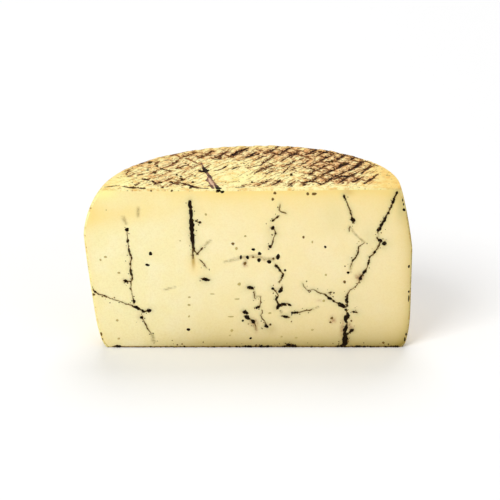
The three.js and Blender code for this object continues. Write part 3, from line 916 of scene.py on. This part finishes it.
def add_seam(surface, route, seed, place, black_width, paleness):
    """A ragged seam of truffle, sunk into a face so that only its front shows."""
    path = resampled(route, SEAM_STEP)
    spot = path[:, :2]
    wander = seam_wander(spot, path[:, 2], seed)
    width = ragged_width(spot, path[:, 2], seed)
    tone = paleness + 1 - smoothstep(BROWN_WIDTH, black_width, width)
    width = width * (THIN_SHARE + (1 - THIN_SHARE) * smoothstep(1.0, 2.4, width))
    across, out = seam_section(width, wander, seed)
    sideways = sideways_of(spot)
    flat_x = spot[:, 0, None] + across * sideways[:, 0, None]
    flat_z = spot[:, 1, None] + across * sideways[:, 1, None]
    ids = surface.add(place(flat_x, flat_z, out), tone=tone[:, None])
    ends = [place(flat_x[end].mean(), flat_z[end].mean(), np.float64(-END_SINK)) for end in (0, -1)]
    poles = surface.add(np.stack(ends), tone=tone[[0, -1]])
    close_rings(surface, ids, *poles)


def add_seams(surface, routes, seed, place, black_width, paleness=0.0):
    for number, route in enumerate(routes):
        add_seam(surface, route, seed + SEAM_SEED_STEP * number, place, black_width, paleness)


def add_crumb(surface, x, z, wide, tall, tone, seed, place):
    """A crumb of truffle sunk into a face, with an uneven outline."""
    polar = np.arange(1, CRUMB_RINGS) * np.pi / CRUMB_RINGS
    ring, turn = np.meshgrid(polar, RING_TURNS, indexing="ij")
    outline = noise(np.stack([np.cos(turn), np.sin(turn)], -1), 0.8, seed)
    spread = np.sin(ring) * (1 + CRUMB_ROUGHNESS * outline)
    flat_x = x + wide / 2 * spread * np.cos(turn)
    flat_z = z + tall / 2 * spread * np.sin(turn)
    depth = CRUMB_DEPTH_SHARE * min(wide, tall)
    out = np.minimum(depth * np.cos(ring), PROUD)
    ids = surface.add(place(flat_x, flat_z, out), tone=tone)
    peaks = np.array([min(depth, PROUD + CRUMB_PEAK), -depth])
    poles = surface.add(place(np.array([x, x]), np.array([z, z]), peaks), tone=tone)
    close_rings(surface, ids, *poles)


def stray_crumbs():
    """Small crumbs strewn beside the seams: x, height, width, height of the crumb and tone."""
    chance = np.random.default_rng(CHANCE_SEED)
    highest = WHEEL_HEIGHT - STRAY_BELOW_TOP
    found = []
    for x, z, _ in joined(SEAMS.values(), STRAY_STEP):
        size = chance.uniform(*STRAY_SIZES)
        offset = chance.normal(0, STRAY_REACH, 2)
        tall = size * chance.uniform(*STRAY_ASPECTS)
        tone = chance.uniform(*STRAY_TONES)
        found.append((x + offset[0], z + offset[1], size, tall, tone))
    return [crumb for crumb in found if STRAY_ABOVE_BASE < crumb[1] < highest and abs(crumb[0]) < STRAY_SIDE]


def size_tone(wide, tall):
    """The tone of a black crumb: the small ones are browner."""
    return 1 - smoothstep(1.2, 2.2, max(wide, tall))


def crumb_rows():
    """Rows of crumbs with their tones, each with its first seed and the face it lies on."""
    black = [(*crumb, size_tone(*crumb[2:])) for crumb in BLACK_CRUMBS]
    brown = [(*crumb, BROWN_TONE) for crumb in BROWN_CRUMBS]
    faint = [(*crumb, FAINT_TONE) for crumb in FAINT_CRUMBS]
    top = [(x, behind, wide, TOP_CRUMB_LENGTH * wide, TOP_CRUMB_TONE) for x, behind, wide in TOP_CRUMBS]
    return (
        (black, BLACK_SEED, on_cut), (brown, BROWN_SEED, on_cut), (stray_crumbs(), STRAY_SEED, on_cut),
        (faint, FAINT_SEED, on_cut), (top, TOP_CRUMB_SEED, above_top))


def build_truffle(material):
    surface = Surface(TRUFFLE_VALUES)
    add_seams(surface, SEAMS.values(), SEAM_SEED, on_cut, FACE_BLACK_WIDTH)
    for crumbs, seed, place in crumb_rows():
        for number, crumb in enumerate(crumbs):
            add_crumb(surface, *crumb, seed + number, place)
    return surface.to_object("truffle", [material])


def build_top_band(material):
    surface = Surface(TRUFFLE_VALUES)
    add_seams(surface, BAND_ENDS, BAND_END_SEED, above_top, BAND_END_BLACK_WIDTH)
    add_seams(surface, BAND_STRANDS, BAND_STRAND_SEED, above_band, BAND_BLACK_WIDTH)
    add_seams(surface, [BAND_STAIN], BAND_STAIN_SEED, on_top, BAND_BLACK_WIDTH, BAND_STAIN_PALENESS)
    return surface.to_object("truffle_band", [material])


# Numbers of the sockets of a Mix node that mixes colours
MIX_SHARE, MIX_FIRST, MIX_SECOND, MIX_RESULT = 0, 6, 7, 2


class Shader:
    """A material's node tree, with short calls for the nodes that the materials share."""

    def __init__(self, name):
        self.material = bpy.data.materials.new(name)
        self.material.use_nodes = True
        self.tree = self.material.node_tree
        self.principled = self.tree.nodes["Principled BSDF"]
        self.place = self.node("ShaderNodeTexCoord").outputs["Object"]

    def node(self, kind, inputs=None, **settings):
        """A new node with its settings made and its inputs fed."""
        made = self.tree.nodes.new(kind)
        for name, value in settings.items():
            setattr(made, name, value)
        for socket, value in (inputs or {}).items():
            self.feed(made.inputs[socket], value)
        return made

    def feed(self, socket, value):
        """Links a socket to another node's output, or sets its own value."""
        if isinstance(value, bpy.types.NodeSocket):
            self.tree.links.new(value, socket)
        else:
            socket.default_value = value

    def attribute(self, name):
        return self.node("ShaderNodeAttribute", attribute_name=name).outputs["Fac"]

    def noise(self, size, detail=2.0, roughness=0.5, stretch=(1, 1, 1)):
        """Noise from about 0 to 1 with bumps of that size in millimetres."""
        mapping = self.node("ShaderNodeMapping", {"Vector": self.place, "Scale": stretch})
        made = self.node("ShaderNodeTexNoise", {
            "Vector": mapping.outputs["Vector"], "Scale": 1 / (size * MM),
            "Detail": detail, "Roughness": roughness})
        return made.outputs["Fac"]

    def noise_at(self, first, second):
        """Noise over a plane of two values, with bumps about one unit across."""
        plane = self.node("ShaderNodeCombineXYZ", {"X": first, "Y": second}).outputs["Vector"]
        return self.node("ShaderNodeTexNoise", {"Vector": plane, "Scale": 1.0, "Detail": 1.0}).outputs["Fac"]

    def dots(self, size, rarity):
        """Small round specks in some of the cells of that size, fewer of them with a higher rarity."""
        made = self.node("ShaderNodeTexVoronoi", {"Vector": self.place, "Scale": 1 / (size * MM)})
        is_there = self.ramp(made.outputs["Color"], rarity, rarity + 0.05)
        return self.times(is_there, self.ramp(made.outputs["Distance"], 0.3, 0.14))

    def math(self, operation, first, second=0.0):
        return self.node("ShaderNodeMath", {0: first, 1: second}, operation=operation).outputs[0]

    def times(self, first, second):
        return self.math("MULTIPLY", first, second)

    def plus(self, first, second):
        return self.math("ADD", first, second)

    def minus(self, first, second):
        return self.math("SUBTRACT", first, second)

    def larger(self, first, second):
        return self.math("MAXIMUM", first, second)

    def ramp(self, value, start, end, low=0.0, high=1.0):
        """A value that goes smoothly from low to high as another goes from start to end."""
        inputs = {"Value": value, "From Min": start, "From Max": end, "To Min": low, "To Max": high}
        return self.node("ShaderNodeMapRange", inputs, interpolation_type="SMOOTHSTEP").outputs["Result"]

    def mix(self, share, first, second):
        inputs = {MIX_SHARE: share, MIX_FIRST: first, MIX_SECOND: second}
        return self.node("ShaderNodeMix", inputs, data_type="RGBA").outputs[MIX_RESULT]

    def layered(self, colour, layers):
        """A colour with tints laid over it one after another, each by its share."""
        for share, tint in layers:
            colour = self.mix(share, colour, tint)
        return colour

    def bump(self, height, strength, distance_mm):
        inputs = {"Height": height, "Strength": strength, "Distance": distance_mm * MM}
        self.surface(Normal=self.node("ShaderNodeBump", inputs).outputs["Normal"])

    def surface(self, **values):
        for name, value in values.items():
            self.feed(self.principled.inputs[name.replace("_", " ")], value)


CREAM = srgb(253, 241, 185)
CREAM_PALE = srgb(255, 245, 198)
WARM_YELLOW = srgb(253, 222, 132)
LEMON = srgb(254, 248, 164)
PEACH = srgb(252, 224, 168)
OLIVE_AND_SHADE_TINT = srgb(150, 128, 50)
OIL_BROWN = srgb(178, 134, 0)
RUST = srgb(150, 70, 24)
VEIL_GREY = srgb(208, 204, 146)
STREAK_BROWN = srgb(138, 116, 58)
GRAIN_YELLOW = srgb(232, 212, 146)


def paste_material():
    shader = Shader("paste")
    clouds = shader.noise(16, 3.0)
    grain = shader.noise(1.1, 3.0, 0.6)
    drag = shader.noise(2.0, 2.0, 0.5, (1, 1, 0.05))
    layers = [
        (shader.ramp(clouds, 0.35, 0.7), CREAM_PALE),
        (shader.ramp(grain, 0.35, 0.8, 0.0, 0.35), GRAIN_YELLOW)]
    uneven = shader.ramp(shader.noise(2.4, 3.0, 0.6), 0.3, 0.65, 0.3, 1.0)
    # The olive tint is olive paste with painted shade towards the base, across the right part and at the
    # right edge.
    tints = (
        ("blush", 0.38, PEACH), ("warmth", 0.85, WARM_YELLOW), ("lemon", 1.0, LEMON),
        ("veil", 0.6, VEIL_GREY), ("oil", 0.9, OIL_BROWN), ("shade", 1.0, OLIVE_AND_SHADE_TINT),
        ("rust", uneven, RUST), ("streak", shader.times(uneven, 0.8), STREAK_BROWN))
    layers += [(shader.times(shader.attribute(name), share), tint) for name, share, tint in tints]
    colour = shader.layered(CREAM, layers)
    shader.surface(Base_Color=colour, Roughness=shader.ramp(grain, 0.3, 0.7, 0.45, 0.62))
    shader.surface(Subsurface_Weight=0.15, Subsurface_Scale=1.5 * MM, Subsurface_Radius=(1.0, 0.6, 0.25))
    shader.surface(Specular_IOR_Level=0.3)
    shader.bump(shader.plus(grain, shader.times(drag, 0.6)), 0.25, 0.25)
    return shader.material


RIND_PALE = srgb(255, 245, 178)
RIND_STRAW = srgb(234, 189, 108)
RIND_GOLD = srgb(242, 198, 100)
RIND_TAN = srgb(226, 162, 116)
RIND_BROWN = srgb(134, 74, 12)
INK_DARK = srgb(32, 10, 0)
GRIME_AND_SHADOW_TINT = srgb(52, 40, 20)
STRAND_SPREAD = 7.3
DASH_RATE = 0.6
DASH_HALF_WIDTH = 0.165


def dashes(shader, strand, crossing, density, ragged):
    """Dark broken lines along one family of strands, more of them where the density is high."""
    number = shader.math("ROUND", strand)
    offset = shader.math("ABSOLUTE", shader.minus(strand, number))
    along = shader.times(crossing, DASH_RATE)
    presence = shader.noise_at(shader.times(number, STRAND_SPREAD), along)
    kept = shader.ramp(shader.plus(presence, shader.times(density, 0.45)), 0.58, 0.8)
    swell = shader.ramp(shader.noise_at(strand, shader.times(crossing, 3.1)), 0.3, 0.7, 0.5, 1.3)
    swell = shader.times(swell, shader.ramp(density, 0.0, 0.8, 0.6, 1.1))
    half_width = shader.times(shader.times(kept, swell), DASH_HALF_WIDTH)
    inside = shader.plus(shader.minus(half_width, offset), ragged)
    return shader.times(shader.ramp(inside, -0.05, 0.08), kept)


def rind_ink(shader, crumbs):
    """How dark the basket has marked the rind: both families of strands, and the strongest marks."""
    first, second = shader.attribute("strand_a"), shader.attribute("strand_b")
    density = shader.attribute("toast")
    ragged = shader.times(shader.minus(crumbs, 0.5), 0.42)
    main = dashes(shader, first, second, density, ragged)
    cross = dashes(shader, second, first, shader.minus(density, 0.18), ragged)
    doubled = shader.plus(shader.times(first, 2.0), 0.5)
    fine = dashes(shader, doubled, second, shader.plus(density, 0.35), ragged)
    woven = shader.larger(main, shader.times(cross, 0.8))
    woven = shader.larger(woven, shader.times(fine, 0.36))
    marked = shader.plus(shader.attribute("mark"), shader.times(ragged, 2.6))
    blotched = shader.plus(shader.noise(2.6), shader.times(density, 0.15))
    marks = shader.larger(shader.ramp(marked, 0.85, 1.15), shader.ramp(blotched, 0.68, 0.8))
    return shader.larger(shader.times(woven, shader.attribute("weave")), marks)


def rind_material():
    shader = Shader("rind")
    patches = shader.noise(6, 4.0, 0.65)
    crumbs = shader.noise(1.3, 3.0, 0.65)
    ink = rind_ink(shader, crumbs)
    specks = shader.dots(3.2, 0.62)
    browned = shader.plus(shader.attribute("toast"), shader.times(shader.minus(patches, 0.5), 1.6))
    mottle = shader.plus(shader.times(patches, 0.7), shader.times(crumbs, 0.3))
    core = shader.plus(ink, shader.times(shader.minus(patches, 0.5), 1.4))
    # The grime tint lays dark rind and a painted contact shadow along the base; the olive tint lays painted
    # shade on the right rim.
    colour = shader.layered(RIND_PALE, (
        (shader.ramp(mottle, 0.42, 0.66), RIND_STRAW),
        (shader.times(shader.attribute("gold"), 0.7), RIND_GOLD),
        (shader.attribute("lemon"), LEMON),
        (shader.ramp(browned, 0.25, 1.0, 0.0, 0.62), RIND_TAN),
        (shader.attribute("shade"), OLIVE_AND_SHADE_TINT),
        (shader.times(specks, 0.6), RIND_BROWN),
        (shader.ramp(ink, 0.0, 0.6, 0.0, 0.92), RIND_BROWN),
        (shader.ramp(core, 0.55, 1.1), INK_DARK),
        (shader.times(shader.attribute("grime"), shader.ramp(crumbs, 0.35, 0.6)), GRIME_AND_SHADOW_TINT)))
    shader.surface(Base_Color=colour, Roughness=shader.ramp(patches, 0.3, 0.7, 0.5, 0.7))
    shader.surface(Subsurface_Weight=0.1, Subsurface_Scale=1.2 * MM, Subsurface_Radius=(1.0, 0.6, 0.25))
    shader.surface(Specular_IOR_Level=0.05)
    shader.bump(shader.minus(crumbs, ink), 0.5, 0.4)
    return shader.material


TRUFFLE_BLACK = srgb(26, 14, 2)
TRUFFLE_BROWN = srgb(124, 96, 48)
TRUFFLE_FAINT = srgb(194, 174, 108)
BAND_BROWN = srgb(150, 112, 92)
BAND_PINK = srgb(220, 182, 150)
TRUFFLE_MOTTLE, BAND_MOTTLE = 0.7, 1.5


def truffle_material(name, thin_colour, faint_colour, mottle):
    shader = Shader(name)
    crumbs = shader.noise(0.8, 3.0, 0.6)
    uneven = shader.times(shader.minus(crumbs, 0.5), mottle)
    tone = shader.plus(shader.attribute("tone"), uneven)
    colour = shader.layered(TRUFFLE_BLACK, (
        (shader.ramp(tone, 0.0, 1.0), thin_colour), (shader.ramp(tone, 1.3, 2.0), faint_colour)))
    shader.surface(Base_Color=colour, Roughness=0.6, Specular_IOR_Level=0.06)
    shader.bump(crumbs, 0.5, 0.2)
    return shader.material


FLOOR_SPAN = 40000
FLOOR_WHITE = srgb(250, 250, 250)


def build_floor():
    bpy.ops.mesh.primitive_plane_add(size=FLOOR_SPAN * MM, location=(0, 0, 0))
    floor = bpy.context.object
    floor.name = "floor"
    shader = Shader("floor")
    shader.surface(Base_Color=FLOOR_WHITE, Roughness=0.8, Specular_IOR_Level=0.1)
    floor.data.materials.append(shader.material)


class Lamp(NamedTuple):
    """A square light that faces the object: its place, its size and its power in watts."""
    name: str
    place: tuple
    size: float
    power: float


LAMPS = (
    Lamp("key", (-2200, -2700, 3400), 2200, 109),
    Lamp("overhead", (200, 2400, 3800), 2600, 80),
    Lamp("fill", (2600, -3200, 1800), 2400, 18),
)
OBJECT_MIDDLE = Vector((0, 0, 60))
WORLD_WHITE = (1, 1, 1, 1)
WORLD_STRENGTH = 0.43


def add_light(lamp):
    data = bpy.data.lights.new(lamp.name, "AREA")
    data.shape = "SQUARE"
    data.size = lamp.size * MM
    data.energy = lamp.power
    place = Vector(lamp.place)
    light = bpy.data.objects.new(lamp.name, data)
    light.location = place * MM
    light.rotation_euler = (OBJECT_MIDDLE - place).to_track_quat("-Z", "Y").to_euler()
    bpy.context.scene.collection.objects.link(light)


def light_studio():
    world = bpy.data.worlds.new("studio")
    bpy.context.scene.world = world
    world.use_nodes = True
    background = world.node_tree.nodes["Background"]
    background.inputs["Color"].default_value = WORLD_WHITE
    background.inputs["Strength"].default_value = WORLD_STRENGTH
    for lamp in LAMPS:
        add_light(lamp)


# The camera, worked out from the photo's outline of the cut face
CAMERA_DISTANCE = 1300
CAMERA_ELEVATION = math.radians(21)
FOCAL_PX = 1839
PICTURE_PX = 500
PICTURE_MIDDLE_PX = (250, 250)
CUT_MIDDLE_PX = (248.3, 269.8)
SENSOR_MM = 36
FARTHEST = 100000


def place_camera():
    data = bpy.data.cameras.new("camera")
    data.sensor_width = SENSOR_MM
    data.lens = FOCAL_PX / PICTURE_PX * SENSOR_MM
    data.clip_end = FARTHEST * MM
    camera = bpy.data.objects.new("camera", data)
    bpy.context.scene.collection.objects.link(camera)
    bpy.context.scene.camera = camera
    back = Vector((0, -math.cos(CAMERA_ELEVATION), math.sin(CAMERA_ELEVATION)))
    up = Vector((0, math.sin(CAMERA_ELEVATION), math.cos(CAMERA_ELEVATION)))
    cut_middle = Vector((0, CUT_Y, WHEEL_HEIGHT / 2))
    mm_per_px = CAMERA_DISTANCE / FOCAL_PX
    to_right = (PICTURE_MIDDLE_PX[0] - CUT_MIDDLE_PX[0]) * mm_per_px
    upward = (CUT_MIDDLE_PX[1] - PICTURE_MIDDLE_PX[1]) * mm_per_px
    aim = cut_middle + Vector((to_right, 0, 0)) + up * upward
    stand = cut_middle + back * CAMERA_DISTANCE
    camera.location = stand * MM
    camera.rotation_euler = (aim - stand).to_track_quat("-Z", "Y").to_euler()


place_camera()
light_studio()
build_floor()
bpy.context.scene.view_settings.view_transform = "Standard"

cheese = build_cheese(joined(SEAMS.values()), rind_material(), paste_material())
truffle = build_truffle(truffle_material("truffle", TRUFFLE_BROWN, TRUFFLE_FAINT, TRUFFLE_MOTTLE))
band = build_top_band(truffle_material("truffle_band", BAND_BROWN, BAND_PINK, BAND_MOTTLE))
for piece, slot in ((cheese, "paste"), (truffle, "truffle"), (band, "truffle")):
    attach(piece, BODY)
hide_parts(NODE)
